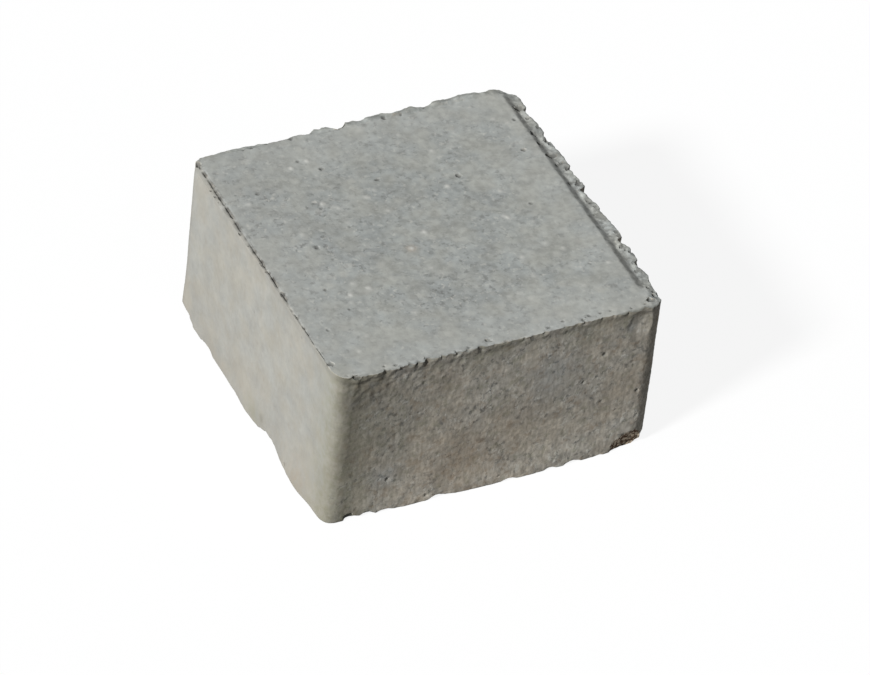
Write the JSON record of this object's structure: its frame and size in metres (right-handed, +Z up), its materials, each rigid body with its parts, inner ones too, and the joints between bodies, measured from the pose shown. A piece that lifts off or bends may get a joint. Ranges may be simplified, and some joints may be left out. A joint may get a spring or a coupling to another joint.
{
  "type": "concrete paving stone",
  "caption": "Square pressed concrete paving stone with rounded upright corners, a grooved press print set off centre in its top, a ragged squeezed-up lip and chipped lower edges.",
  "frame": {"origin": "middle of the bed face, the face the stone lies on", "axes": "+Z up out of the pressed face, +X towards the side with the broad lip, -Y towards the rough front side"},
  "size_m": [0.115, 0.115, 0.0608],
  "materials": {
    "concrete": "bare pressed concrete, matt grey with fine sand grain"
  },
  "bodies": {
    "root": {"paving_stone": "concrete"}
  },
  "joints": []
}
